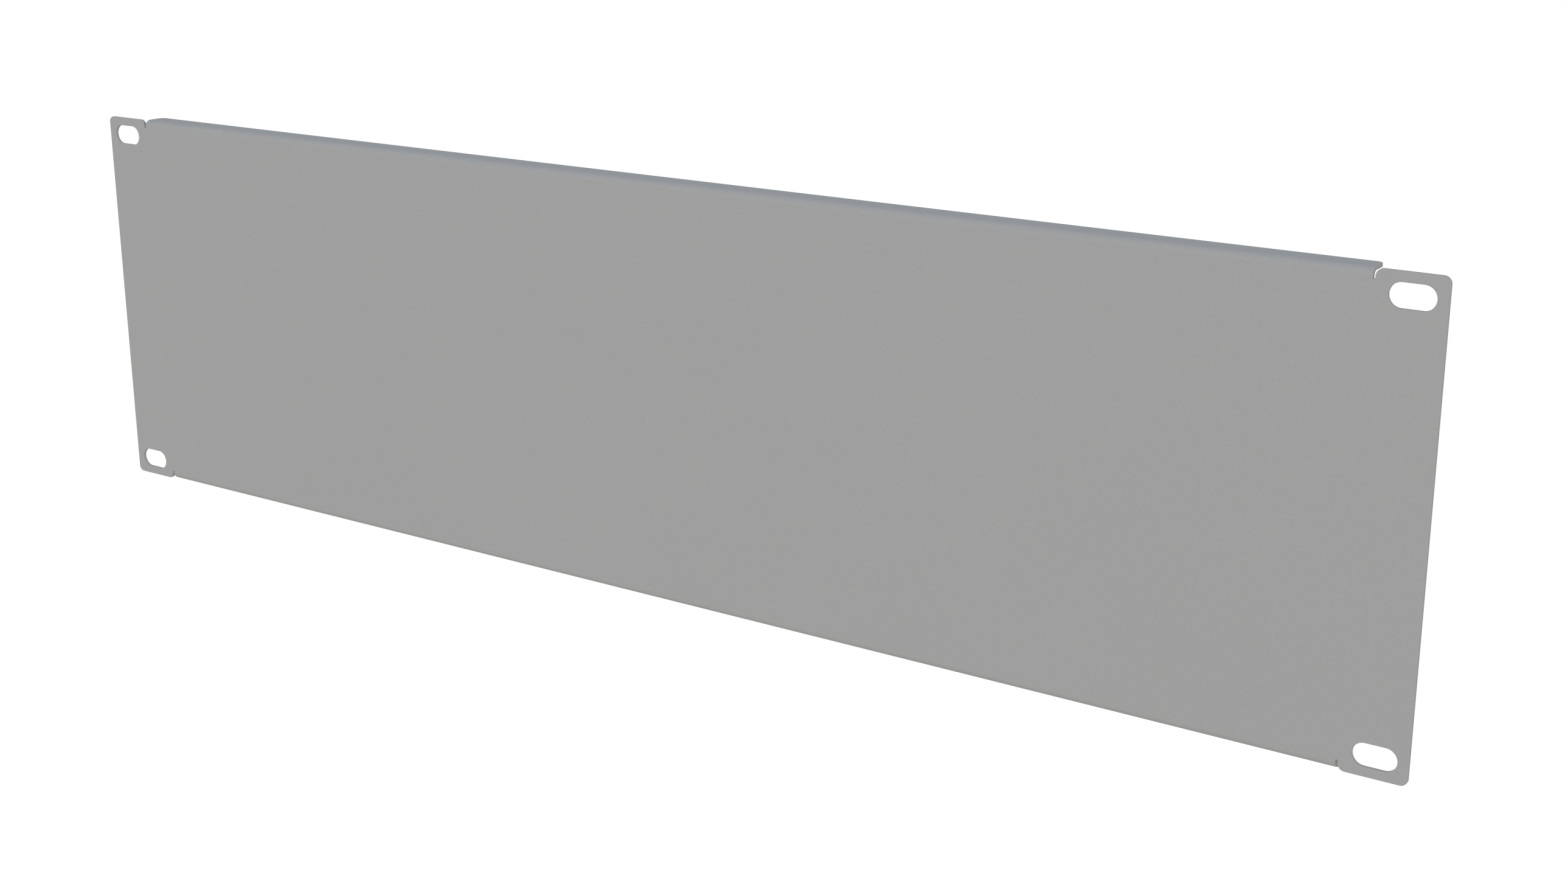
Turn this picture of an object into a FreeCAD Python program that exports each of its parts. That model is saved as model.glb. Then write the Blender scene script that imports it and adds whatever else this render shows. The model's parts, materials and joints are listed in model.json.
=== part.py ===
# Rack blanking panel, three units high: one steel sheet, punched and then folded.
#
# The middle of the sheet is folded back along its top and its bottom edge, which
# stiffens the panel. The two ends stay flat as ears, with a slot in each corner for
# the screws. A narrow relief slit beside each end of each fold lets the sheet bend
# there without tearing.
#
# Sizes are in millimetres. The origin is the centre of the four slots, on the ears'
# rear face, which is the face that seats on the rack's rails. +X runs along the panel,
# to the right as seen from the front. +Y runs back into the rack. +Z is up.

import FreeCAD, Part
import os

from FreeCAD import Vector

# --- The sheet and the whole panel ---
sheet = 1.0  # thickness of the steel
width = 483.0  # end to end, for a 19-inch rack
unit_height = 44.45  # one rack unit
units = 3  # how many of them the panel covers
stack_clearance = 1.35  # left free in that height, so that panels stack
height = units * unit_height - stack_clearance

# --- The ears and their slots ---
ear_width = 18.5  # from the panel's end to the relief slit
ear_corner_r = 2.0
slot_length = 12.0  # end to end, along the panel
slot_height = 6.5  # lets an M6 screw through
slot_from_end = 9.0  # from the slot's centre to the panel's end
slot_from_edge = 6.0  # from the slot's centre to the ear's top or bottom edge

# --- The folds and their relief slits ---
bend_inner_r = 1.3
flange_depth = 8.0  # from the front face back to the flange's free edge
flange_corner_r = 2.0  # in plan, at both ends of the free edge
relief_gap = 0.5  # width of the slit between an ear and the fold
relief_past_bend = 0.5  # how far the slit runs on past the bend, into the face

# --- Places that follow from those sizes ---
bend_outer_r = bend_inner_r + sheet
front_y = -sheet
free_edge_y = front_y + flange_depth
end_x = width / 2
ear_inner_x = end_x - ear_width
fold_end_x = ear_inner_x - relief_gap
edge_z = height / 2  # the ears' edges and the flanges' outer faces are level
bend_start_z = edge_z - bend_outer_r
relief_bottom_z = bend_start_z - relief_past_bend
slot_x = end_x - slot_from_end
slot_z = edge_z - slot_from_edge

along_y = Vector(0, 1, 0)
along_z = Vector(0, 0, 1)
near = 1e-6  # lengths and places that differ by less are the same


def line(start, end):
    return Part.LineSegment(start, end).toShape()


def arc(start, through, end):
    return Part.Arc(start, through, end).toShape()


def round_corner(start, corner, end):
    """A quarter circle that takes the place of a square corner, from start to end."""
    centre = start + end - corner
    radius = (start - centre).Length
    return arc(start, centre + (corner - centre).normalize() * radius, end)


def straight_edges(shape, direction):
    """The straight edges of a shape that run in a direction."""
    return [
        edge for edge in shape.Edges
        if edge.Curve.TypeId == "Part::GeomLine"
        and edge.tangentAt(edge.FirstParameter).cross(direction).Length < near
    ]


def folded_middle():
    """The face between the ears with its two bends and flanges: a length of channel.

    The sheet's outer skin is drawn in section as an open path, from the top flange's
    free edge down to the bottom flange's. The path is then thickened inwards by the
    sheet, so that the two sides of each bend share one centre, as in a real fold.
    """
    def point(y, z):
        return Vector(-fold_end_x, y, z)

    bend_end_y = front_y + bend_outer_r
    outer_skin = Part.Wire([
        line(point(free_edge_y, edge_z), point(bend_end_y, edge_z)),
        round_corner(point(bend_end_y, edge_z), point(front_y, edge_z), point(front_y, bend_start_z)),
        line(point(front_y, bend_start_z), point(front_y, -bend_start_z)),
        round_corner(point(front_y, -bend_start_z), point(front_y, -edge_z), point(bend_end_y, -edge_z)),
        line(point(bend_end_y, -edge_z), point(free_edge_y, -edge_z)),
    ])
    section = outer_skin.makeOffset2D(-sheet, fill=True, openResult=True)
    channel = section.extrude(Vector(2 * fold_end_x, 0, 0))
    flange_corners = [
        edge for edge in straight_edges(channel, along_z)
        if abs(edge.CenterOfMass.y - free_edge_y) < near
    ]
    return channel.makeFillet(flange_corner_r, flange_corners)


def flat_sheet(from_x, to_x, half_height):
    """A flat piece of the sheet, as far below the panel's middle as above it."""
    low_corner = Vector(from_x, front_y, -half_height)
    return Part.makeBox(to_x - from_x, sheet, 2 * half_height, low_corner)


def ear(from_x, to_x):
    """One flat end of the panel, at its full height and with its four corners rounded."""
    plate = flat_sheet(from_x, to_x, edge_z)
    return plate.makeFillet(ear_corner_r, straight_edges(plate, along_y))


def slot_punch(x, z):
    """The round-ended punch for one slot, which passes right through the sheet."""
    tip = slot_length / 2
    end_r = slot_height / 2
    straight = tip - end_r
    clear_of_sheet = sheet

    def point(across, up):
        return Vector(x + across, front_y - clear_of_sheet, z + up)

    outline = Part.Wire([
        line(point(-straight, end_r), point(straight, end_r)),
        arc(point(straight, end_r), point(tip, 0), point(straight, -end_r)),
        line(point(straight, -end_r), point(-straight, -end_r)),
        arc(point(-straight, -end_r), point(-tip, 0), point(-straight, end_r)),
    ])
    return Part.Face(outline).extrude(along_y * (sheet + 2 * clear_of_sheet))


def blanking_panel():
    """The ears joined to the folded middle, with the slots punched.

    The face joins them only as far up and down as the slits' bottoms. Past those, the
    gap that is left between an ear and the fold's end is the relief slit.
    """
    ears = [ear(-end_x, -ear_inner_x), ear(ear_inner_x, end_x)]
    face = flat_sheet(-ear_inner_x - ear_corner_r, ear_inner_x + ear_corner_r, relief_bottom_z)
    joined = folded_middle().fuse([face] + ears).removeSplitter()
    punches = [slot_punch(x, z) for x in (-slot_x, slot_x) for z in (-slot_z, slot_z)]
    return joined.cut(punches)


os.makedirs("parts", exist_ok=True)
panel = blanking_panel()
panel.exportStep("parts/blanking_panel.step")
box = panel.BoundBox
print(f"blanking_panel: {box.XLength:.2f} x {box.YLength:.2f} x {box.ZLength:.2f} mm")
print(f"slots at {2 * slot_x:.2f} x {2 * slot_z:.2f} mm, folds {2 * fold_end_x:.2f} mm long")
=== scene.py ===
# %% [markdown]
# # A rack blanking panel
#
# A blanking panel closes an empty space in a 19-inch rack. It is one sheet of steel. It
# was punched flat, folded back along its top and bottom edges, and then powder coated.
#
# This notebook dresses the panel that the CAD model gives. Lengths are in metres, and the
# axes are the CAD's: +X runs along the panel to the right as seen from the front, +Y runs
# back into the rack, and +Z is up.

# %% Load the frame
import bmesh
import bpy
import json
import math
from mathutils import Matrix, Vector


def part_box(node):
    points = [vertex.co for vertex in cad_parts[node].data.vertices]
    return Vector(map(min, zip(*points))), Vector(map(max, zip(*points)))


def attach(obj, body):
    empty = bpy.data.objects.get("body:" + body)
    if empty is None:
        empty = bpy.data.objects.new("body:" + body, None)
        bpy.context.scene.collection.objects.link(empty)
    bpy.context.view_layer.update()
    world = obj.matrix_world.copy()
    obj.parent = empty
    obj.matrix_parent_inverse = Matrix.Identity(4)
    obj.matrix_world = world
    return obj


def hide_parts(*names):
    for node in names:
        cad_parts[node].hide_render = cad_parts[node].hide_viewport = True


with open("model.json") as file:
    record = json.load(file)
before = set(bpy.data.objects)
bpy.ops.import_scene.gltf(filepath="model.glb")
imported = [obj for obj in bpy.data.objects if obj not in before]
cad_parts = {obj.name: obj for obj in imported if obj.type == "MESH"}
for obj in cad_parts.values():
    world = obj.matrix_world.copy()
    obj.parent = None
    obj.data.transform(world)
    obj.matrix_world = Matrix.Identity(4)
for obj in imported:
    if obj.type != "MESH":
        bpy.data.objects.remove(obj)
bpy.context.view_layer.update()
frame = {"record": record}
mm = 0.001

# %% [markdown]
# ## The camera
#
# A long thin panel looks best from one side and a little above, where the face, the top
# flange and one pair of ears all show. The camera could be placed by its own location and
# rotation, but four simpler facts say more: the point that it aims at, its distance from
# there, and the two angles that it stands at. Azimuth turns from straight in front of the
# panel towards its right, and elevation rises from level.

# %% Place the camera
def towards(azimuth, elevation):
    """The direction from the panel to something that stands at these two angles."""
    level = math.cos(math.radians(elevation))
    return Vector((
        math.sin(math.radians(azimuth)) * level,
        -math.cos(math.radians(azimuth)) * level,
        math.sin(math.radians(elevation)),
    ))


def looking_from(azimuth, elevation):
    """The turn that points a camera or a lamp back at the panel from these angles."""
    return math.radians(90 - elevation), 0, math.radians(azimuth)


camera_azimuth = 34.442
camera_elevation = 16.390
camera_distance = 639.93 * mm
aim = Vector((49.46 * mm, 0, -6.62 * mm))
lens_length = 50  # Blender takes the lens and its sensor in millimetres
sensor_width = 36

bpy.ops.object.select_all(action="DESELECT")
bpy.ops.object.camera_add(
    location=aim + towards(camera_azimuth, camera_elevation) * camera_distance,
    rotation=looking_from(camera_azimuth, camera_elevation),
)
camera = bpy.context.object
camera.name = "camera"
camera.data.lens = lens_length
camera.data.sensor_width = sensor_width
bpy.context.scene.camera = camera
print("camera at", [round(value, 4) for value in camera.location])

# %% [markdown]
# ## Shaders as expressions
#
# A finish is a small graph of nodes. It could be wired one link at a time, but then the
# sum behind it is hard to read. Here a `Signal` stands for one socket of the graph, and
# Python's own signs add the Math nodes: `1 - mask` becomes a Subtract node. Any other node
# comes from `Shader.node`, which sets the node's options first, because those decide which
# sockets it has, and then gives each input a value or a link.

# %% Define the node helpers
class Signal:
    """One output socket. Sums and products of signals add Math nodes."""

    def __init__(self, shader, socket):
        self.shader = shader
        self.socket = socket

    def math(self, operation, first, second):
        return self.shader.node("ShaderNodeMath", {"operation": operation}, {0: first, 1: second})

    def __add__(self, other):
        return self.math("ADD", self, other)

    def __radd__(self, other):
        return self.math("ADD", other, self)

    def __sub__(self, other):
        return self.math("SUBTRACT", self, other)

    def __rsub__(self, other):
        return self.math("SUBTRACT", other, self)

    def __mul__(self, other):
        return self.math("MULTIPLY", self, other)

    def __rmul__(self, other):
        return self.math("MULTIPLY", other, self)


class Shader:
    """The node graph of a material or of the world."""

    def __init__(self, owner):
        owner.use_nodes = True
        self.owner = owner
        self.nodes = owner.node_tree.nodes
        self.links = owner.node_tree.links
        self.nodes.clear()

    def node(self, kind, settings=None, inputs=None, output=0):
        """Add a node, and give the signal of one of its outputs."""
        made = self.nodes.new(kind)
        for name, value in (settings or {}).items():
            setattr(made, name, value)
        for name, value in (inputs or {}).items():
            socket = self.find(made.inputs, name)
            if isinstance(value, Signal):
                self.links.new(value.socket, socket)
            else:
                socket.default_value = value
        return Signal(self, self.find(made.outputs, output)) if made.outputs else None

    def find(self, sockets, name):
        """A socket by its number, or the one by its name that the settings switch on."""
        if isinstance(name, int):
            return sockets[name]
        return next(socket for socket in sockets if socket.name == name and socket.enabled)


def grey(value):
    """A colour with no hue."""
    return value, value, value, 1


print("an expression such as 1 - mask will add its own Math nodes")

# %% [markdown]
# ## The studio
#
# Catalogue pictures of such parts are taken against pure white, which a real studio gets
# from a lit paper sweep behind and under the part. Flooding the part with that much light
# would wash its colour out. So the white here is only for the rays that look straight at
# the background or see it in a reflection or through something, and the panel is lit by a
# calmer sky of its own.

# %% Light the world
sky_colour = (0.662, 0.724, 0.794, 1)  # a cool, even light from all around


def seen_rays(shader):
    """One for the rays that see a thing or its reflection, and none for its light."""
    camera_ray = shader.node("ShaderNodeLightPath", output="Is Camera Ray")
    glossy_ray = shader.node("ShaderNodeLightPath", output="Is Glossy Ray")
    through_ray = shader.node("ShaderNodeLightPath", output="Is Transmission Ray")
    return camera_ray + glossy_ray + through_ray


world = bpy.data.worlds.new("studio")
bpy.context.scene.world = world
sky = Shader(world)
white_paper = sky.node("ShaderNodeBackground", {}, {"Color": grey(1), "Strength": 1})
sky_light = sky.node("ShaderNodeBackground", {}, {"Color": sky_colour, "Strength": 1})
both = sky.node("ShaderNodeMixShader", {}, {0: seen_rays(sky), 1: sky_light, 2: white_paper})
sky.node("ShaderNodeOutputWorld", {}, {"Surface": both})
print("world made with", len(world.node_tree.nodes), "nodes")

# %% [markdown]
# ## The floor
#
# The panel stands on nothing, because in use it hangs from four screws. The floor lies
# well below it, so that only a soft shade falls there. The paper is a pale cream, which
# the cool sky turns neutral, and it sends a warm light up to the panel's underside. It
# glows a little, again only for the rays that see it, which lifts it to white. The glow is
# no stronger than that takes, because a floor brighter than white would eat into the
# panel's thin edges.

# %% Lay the floor
floor_depth = 350 * mm  # below the panel's middle
floor_size = 60  # wide enough to run out of every view
paper_colour = (0.80, 0.71, 0.63, 1)
paper_glow = (0.420, 0.445, 0.470, 1)  # evens out what is left of the cream
paper_roughness = 0.9

bpy.ops.object.select_all(action="DESELECT")
bpy.ops.mesh.primitive_plane_add(size=floor_size, location=(0, 0, -floor_depth))
floor = bpy.context.object
floor.name = "floor"
paper = Shader(bpy.data.materials.new("floor_paper"))
glow = paper.node("ShaderNodeMix", {"data_type": "RGBA"}, {
    "Factor": seen_rays(paper),
    "A": grey(0),
    "B": paper_glow,
}, output="Result")
paper_face = paper.node("ShaderNodeBsdfPrincipled", {}, {
    "Base Color": paper_colour,
    "Roughness": paper_roughness,
    "Specular IOR Level": 0,
    "Emission Color": glow,
    "Emission Strength": 1,
})
paper.node("ShaderNodeOutputMaterial", {}, {"Surface": paper_face})
floor.data.materials.append(paper.owner)
print("floor at z =", -floor_depth)

# %% [markdown]
# ## The lamps
#
# A large warm soft box stands low in front, and gives the face its even tone, while the
# folds turn away from it into the cooler light of the sky. A weaker one behind and to the
# right keeps the sheet's right-hand edges and its back from going dull. A sun lamp with a
# wide disc does the same as a soft box for a part this small, and its light is as strong
# at one end of the panel as at the other.

# %% Hang the lamps
def soft_box(name, azimuth, elevation, strength, spread, colour):
    """A distant soft light that shines on the panel from these angles."""
    bpy.ops.object.select_all(action="DESELECT")
    bpy.ops.object.light_add(type="SUN", rotation=looking_from(azimuth, elevation))
    lamp = bpy.context.object
    lamp.name = name
    lamp.data.energy = strength
    lamp.data.angle = math.radians(spread)
    lamp.data.color = colour
    return lamp


key = soft_box("key", azimuth=10, elevation=5, strength=1.73, spread=30, colour=(1, 0.95, 0.88))
fill = soft_box("fill", azimuth=145, elevation=5, strength=0.95, spread=40, colour=(1, 1, 0.90))
for lamp in (key, fill):
    print(lamp.name, "lamp with strength", round(lamp.data.energy, 2))

# %% [markdown]
# ## The panel's sizes
#
# The ends, edges, face and flanges are where the CAD's box has them. The slots are where
# its record says that screws pass. The few sizes that neither gives are those of the sheet
# worker's drawing: how wide the ears are, how tight the fold is, and how its ends are
# relieved.

# %% Read and state the sizes
low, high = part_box("blanking_panel")
slots = next(mount for mount in frame["record"]["mounts"] if mount["name"] == "rack_slots")

end_x = high.x
edge_z = high.z
front_y = low.y
free_edge_y = high.y
sheet = -front_y  # the ears' rear faces lie at y = 0
slot_x = slots["dims"]["spacing_x_mm"] * mm / 2
slot_z = slots["dims"]["spacing_y_mm"] * mm / 2
slot_length = slots["dims"]["slot_length_mm"] * mm
slot_height = slots["dims"]["hole_r_mm"] * mm * 2

ear_width = 18.5 * mm
ear_corner_r = 2 * mm
bend_inner_r = 1.3 * mm
flange_corner_r = 2 * mm
relief_gap = 0.5 * mm
relief_past_bend = 0.5 * mm

ear_inner_x = end_x - ear_width
fold_end_x = ear_inner_x - relief_gap
bend_outer_r = bend_inner_r + sheet
bend_end_y = front_y + bend_outer_r
bend_start_z = edge_z - bend_outer_r
relief_bottom_z = bend_start_z - relief_past_bend
print("sheet", round(sheet / mm, 2), "mm, folds to z =", round(edge_z / mm, 2), "mm")

# %% [markdown]
# ## Selecting by place
#
# In the window, faces and edges are clicked. In code they are found by where they are.
# `pick` looks at each one's lowest and highest corners, so a rule such as "all of it lies
# above this line" is one comparison. Lengths that should be equal can differ by a few
# billionths, so every comparison allows for `near`.

# %% Define the selection helper
near = 0.001 * mm


def pick(kind, wanted):
    """Select the vertices, edges or faces whose lowest and highest corners are wanted."""
    bpy.ops.mesh.select_mode(type=kind)
    bpy.ops.mesh.select_all(action="DESELECT")
    mesh = bmesh.from_edit_mesh(bpy.context.object.data)
    parts = {"VERT": mesh.verts, "EDGE": mesh.edges, "FACE": mesh.faces}[kind]
    for part in parts:
        corners = [vertex.co for vertex in getattr(part, "verts", [part])]
        lowest = Vector(min(corner[axis] for corner in corners) for axis in range(3))
        highest = Vector(max(corner[axis] for corner in corners) for axis in range(3))
        part.select_set(wanted(lowest, highest))
    mesh.select_flush_mode()
    bmesh.update_edit_mesh(bpy.context.object.data)


def everything(lowest, highest):
    return True


print("lengths within", near, "m count as equal")

# %% [markdown]
# ## The blank
#
# The real panel starts as a flat blank with square corners. A box could be carved into the
# folded shape, but one skin of the sheet that is cut and folded first, and thickened last,
# follows how the part is made and keeps the sheet equally thick all round. The panel is
# the same left to right and top to bottom, so only its upper right quarter is modelled,
# and mirrored later. The skin is the sheet's front face.

# %% Cut a quarter of the blank
def upright_plane(name, x, z, width, height):
    """A flat rectangle of the sheet's front face, around a middle point."""
    bpy.ops.object.select_all(action="DESELECT")
    upright = (math.radians(90), 0, 0)
    bpy.ops.mesh.primitive_plane_add(size=1, location=(x, front_y, z), rotation=upright)
    bpy.ops.transform.resize(value=(width, 1, height))
    bpy.ops.object.transform_apply(location=True, rotation=True, scale=True)
    bpy.context.object.name = name
    return bpy.context.object


panel = upright_plane("steel_panel", end_x / 2, edge_z / 2, end_x, edge_z)
print("quarter blank", round(end_x / mm, 1), "x", round(edge_z / mm, 1), "mm")

# %% [markdown]
# ## The relief slits
#
# Where a fold stops short of the part's end, the sheet would tear. The punch therefore
# takes a narrow slit out beside each end of the fold, down to a little past the bend. Four
# straight cuts mark the slit's sides, its bottom and the line where the bend starts. The
# slit's faces are then deleted, with those above the bend line, which come back as the
# fold.

# %% Mark the bend line and open the slit
def cut(wanted, place, across):
    """Divide the wanted faces along the plane through a place, square to a direction."""
    pick("FACE", wanted)
    bpy.ops.mesh.bisect(plane_co=place, plane_no=across)


def is_middle(lowest, highest):
    return highest.x < ear_inner_x + near


def is_ear(lowest, highest):
    return lowest.x > ear_inner_x - near


def is_slit_or_fold(lowest, highest):
    in_slit = lowest.x > fold_end_x - near and lowest.z > relief_bottom_z - near
    return is_middle(lowest, highest) and (in_slit or lowest.z > bend_start_z - near)


bpy.ops.object.mode_set(mode="EDIT")
for x in (fold_end_x, ear_inner_x):
    cut(everything, (x, 0, 0), (1, 0, 0))
for z in (relief_bottom_z, bend_start_z):
    cut(is_middle, (0, 0, z), (0, 0, 1))
pick("FACE", is_slit_or_fold)
bpy.ops.mesh.delete(type="FACE")
print("slit", round(relief_gap / mm, 2), "x", round((edge_z - relief_bottom_z) / mm, 2), "mm")

# %% [markdown]
# ## The ear's corners
#
# The ear stays flat, and its two corners are rounded so that they don't catch a hand. A
# bevel of single vertices does in a flat outline what a fillet does in CAD.

# %% Round the ear's corners
corner_segments = 10


def is_ear_corner(lowest, highest):
    return is_ear(lowest, highest) and lowest.z > edge_z - near


pick("VERT", is_ear_corner)
bpy.ops.mesh.bevel(offset=ear_corner_r, segments=corner_segments, affect="VERTICES")
bpy.ops.object.mode_set(mode="OBJECT")
print("ear corners rounded to", round(ear_corner_r / mm, 2), "mm")

# %% [markdown]
# ## The slot
#
# A slot, rather than a round hole, lets the panel shift sideways to suit the rack. It
# could be cut with a Boolean, which leaves long thin faces around its rim. Here the rim is
# made first: a small rectangle whose corners are rounded by half its height, so that its
# ends close to half circles. Insetting it leaves a tidy ring of faces round the opening,
# which the edge rounding needs later on.

# %% Make the slot's ring
slot_end_segments = 16  # in each quarter circle
ring_width = 0.6 * mm
ring_r = slot_height / 2 + ring_width

ring = upright_plane("slot_ring", slot_x, slot_z, slot_length + 2 * ring_width, 2 * ring_r)
bpy.ops.object.mode_set(mode="EDIT")
pick("VERT", everything)
bpy.ops.mesh.bevel(offset=ring_r, segments=slot_end_segments, affect="VERTICES", clamp_overlap=False)
bpy.ops.mesh.select_all(action="SELECT")
bpy.ops.mesh.remove_doubles(threshold=near)
bpy.ops.mesh.select_all(action="SELECT")
bpy.ops.mesh.inset(thickness=ring_width)
bpy.ops.mesh.delete(type="FACE")
bpy.ops.object.mode_set(mode="OBJECT")
print("ring of", len(ring.data.polygons), "faces round a slot of",
      round(slot_length / mm, 1), "x", round(slot_height / mm, 1), "mm")

# %% [markdown]
# ## Joining the ring to the ear
#
# The ear's upper part is one face. Deleting that face alone keeps its outline, and Fill
# then closes the space between this outline and the ring with new faces. The outline and
# the ring's outer edge are the open edges there, and the ring's inner edge, which stays
# open, is nearer to the slot's middle line.

# %% Fit the ring into the ear
slot_cell_z = slot_z - slot_height / 2 - 2 * ring_width
slot_straight = (slot_length - slot_height) / 2


def is_slot_cell(lowest, highest):
    return is_ear(lowest, highest) and lowest.z > slot_cell_z - near


def from_slot_line(place):
    """How far a place is from the slot's middle line, which ends where its ends curve."""
    past_the_end = max(abs(place.x - slot_x) - slot_straight, 0)
    return math.hypot(past_the_end, place.z - slot_z)


bpy.ops.object.select_all(action="DESELECT")
panel.select_set(True)
bpy.context.view_layer.objects.active = panel
bpy.ops.object.mode_set(mode="EDIT")
cut(is_ear, (0, 0, slot_cell_z), (0, 0, 1))
pick("FACE", is_slot_cell)
bpy.ops.mesh.delete(type="ONLY_FACE")
bpy.ops.object.mode_set(mode="OBJECT")
ring.select_set(True)
bpy.ops.object.join()

bpy.ops.object.mode_set(mode="EDIT")
pick("EDGE", is_slot_cell)
mesh = bmesh.from_edit_mesh(panel.data)
for edge in mesh.edges:
    middle = (edge.verts[0].co + edge.verts[1].co) / 2
    is_slot_rim = from_slot_line(middle) < slot_height / 2 + ring_width / 2
    if is_slot_rim or len(edge.link_faces) == 2:
        edge.select_set(False)
bmesh.update_edit_mesh(panel.data)
bpy.ops.mesh.fill(use_beauty=True)
print("quarter skin has", len(bmesh.from_edit_mesh(panel.data).faces), "faces")

# %% [markdown]
# ## The fold
#
# A press brake folds the flange back round a small radius, because sharper bends crack the
# steel. Spin does the same to the bend line: it carries the edge round the bend's centre
# and leaves faces behind it. The flat flange is that edge extruded back to its free edge,
# and its corner is rounded like the ear's.

# %% Fold the flange back
bend_segments = 16


def is_bend_line(lowest, highest):
    return highest.x < fold_end_x + near and lowest.z > bend_start_z - near


def is_bend_end(lowest, highest):
    return lowest.y > bend_end_y - near


def is_flange_corner(lowest, highest):
    return lowest.y > free_edge_y - near and lowest.x > fold_end_x - near


pick("EDGE", is_bend_line)
bpy.ops.mesh.spin(
    steps=bend_segments, angle=math.radians(90), axis=(1, 0, 0), center=(0, bend_end_y, bend_start_z)
)
pick("EDGE", is_bend_end)
bpy.ops.mesh.extrude_region_move(TRANSFORM_OT_translate={"value": (0, free_edge_y - bend_end_y, 0)})
pick("VERT", is_flange_corner)
bpy.ops.mesh.bevel(offset=flange_corner_r, segments=corner_segments, affect="VERTICES")
bpy.ops.object.mode_set(mode="OBJECT")
print("flange", round((free_edge_y - front_y) / mm, 2), "mm deep")

# %% [markdown]
# ## Mirror, thickness and soft edges
#
# Two mirrors make the quarter whole. Solidify then gives the skin the sheet's thickness
# behind it, so the normals are made to point outwards first: on a closed shell the same
# operator would turn the inner side round. Powder coat builds up a little on every edge
# and rounds it, and so does the Bevel. Weighted normals keep the wide flat faces looking
# flat beside those narrow rounded edges.

# %% Finish the mesh
edge_round = 0.12 * mm
edge_segments = 3
edge_angle = 40  # a bend's own facets meet at less, and the sheet's edges at more
large_face_weight = 100  # the largest faces decide how a corner is shaded


def apply_modifier(kind, **settings):
    """Add a modifier to the panel, set it, and make its result the mesh."""
    modifier = panel.modifiers.new(kind.lower(), kind)
    for name, value in settings.items():
        setattr(modifier, name, value)
    bpy.ops.object.modifier_apply(modifier=modifier.name)
    print(kind.lower(), "gives", len(panel.data.polygons), "faces")


apply_modifier("MIRROR", use_axis=(True, False, True), use_clip=True, merge_threshold=near)
bpy.ops.object.mode_set(mode="EDIT")
bpy.ops.mesh.select_all(action="SELECT")
bpy.ops.mesh.remove_doubles(threshold=near)
bpy.ops.mesh.normals_make_consistent(inside=False)
bpy.ops.object.mode_set(mode="OBJECT")
apply_modifier("SOLIDIFY", thickness=sheet, offset=-1, use_even_offset=True, use_quality_normals=True)
apply_modifier(
    "BEVEL", width=edge_round, segments=edge_segments, limit_method="ANGLE",
    angle_limit=math.radians(edge_angle), use_clamp_overlap=False
)
bpy.ops.object.shade_smooth()
apply_modifier("WEIGHTED_NORMAL", weight=large_face_weight)

# %% [markdown]
# ## The powder coat
#
# The coat is dry powder, held on by static and melted in an oven. It flows together into a
# tough matt skin with a faint waviness, called orange peel, and a finer grain from the
# powder itself. Both are noise on the piece's own coordinates, so they stay on the metal
# when it moves. Their heights are a few thousandths of a millimetre, which is too small to
# model but shows where light rakes along a flange, and so they feed a Bump node. The coat
# is thicker on the hills, so the orange peel shifts the tone by a trace as well. A much
# larger noise lets the tone and the gloss drift a little over the panel.

# %% Mix the powder coat
coat_colour = 0.330
coat_tone_range = 0.020  # either way
coat_roughness = 0.85
coat_gloss_drift = 0.04  # either way
coat_specular = 0.2
peel_size = 1.0 * mm
grain_size = 0.25 * mm
drift_size = 70 * mm
peel_height = 0.026 * mm  # from 0 to 1 in the noise, which mostly keeps to its middle third
grain_height = 0.010 * mm
peel_share_of_tone = 0.8  # the drift has the rest
noise_middle = 0.5


def noise(shader, place, size, detail):
    """Soft noise from 0 to 1 whose patches are about one size across."""
    return shader.node("ShaderNodeTexNoise", {}, {
        "Vector": place,
        "Scale": 1 / size,
        "Detail": detail,
        "Roughness": 0.5,
    })


coat = Shader(bpy.data.materials.new("powder_coat"))
place = coat.node("ShaderNodeTexCoord", output="Object")
drift = noise(coat, place, size=drift_size, detail=2)
peel = noise(coat, place, size=peel_size, detail=3)
grain = noise(coat, place, size=grain_size, detail=2)
tone = coat.node("ShaderNodeMix", {"data_type": "RGBA"}, {
    "Factor": peel * peel_share_of_tone + drift * (1 - peel_share_of_tone),
    "A": grey(coat_colour - coat_tone_range),
    "B": grey(coat_colour + coat_tone_range),
}, output="Result")
relief = peel * peel_height + grain * grain_height
bump = coat.node("ShaderNodeBump", {}, {"Strength": 1, "Distance": 1, "Height": relief})
coat_face = coat.node("ShaderNodeBsdfPrincipled", {}, {
    "Base Color": tone,
    "Roughness": coat_roughness + (drift - noise_middle) * (2 * coat_gloss_drift),
    "Specular IOR Level": coat_specular,
    "Normal": bump,
})
coat.node("ShaderNodeOutputMaterial", {}, {"Surface": coat_face})
panel.data.materials.append(coat.owner)
print("powder coat made with", len(coat.nodes), "nodes")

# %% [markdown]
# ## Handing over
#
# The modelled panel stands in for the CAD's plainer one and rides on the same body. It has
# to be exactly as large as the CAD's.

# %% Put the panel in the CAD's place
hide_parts("blanking_panel")
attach(panel, "root")
print(panel.name, "has", len(panel.data.polygons), "faces")

# %% Set the view transform
bpy.context.scene.view_settings.view_transform = "Standard"
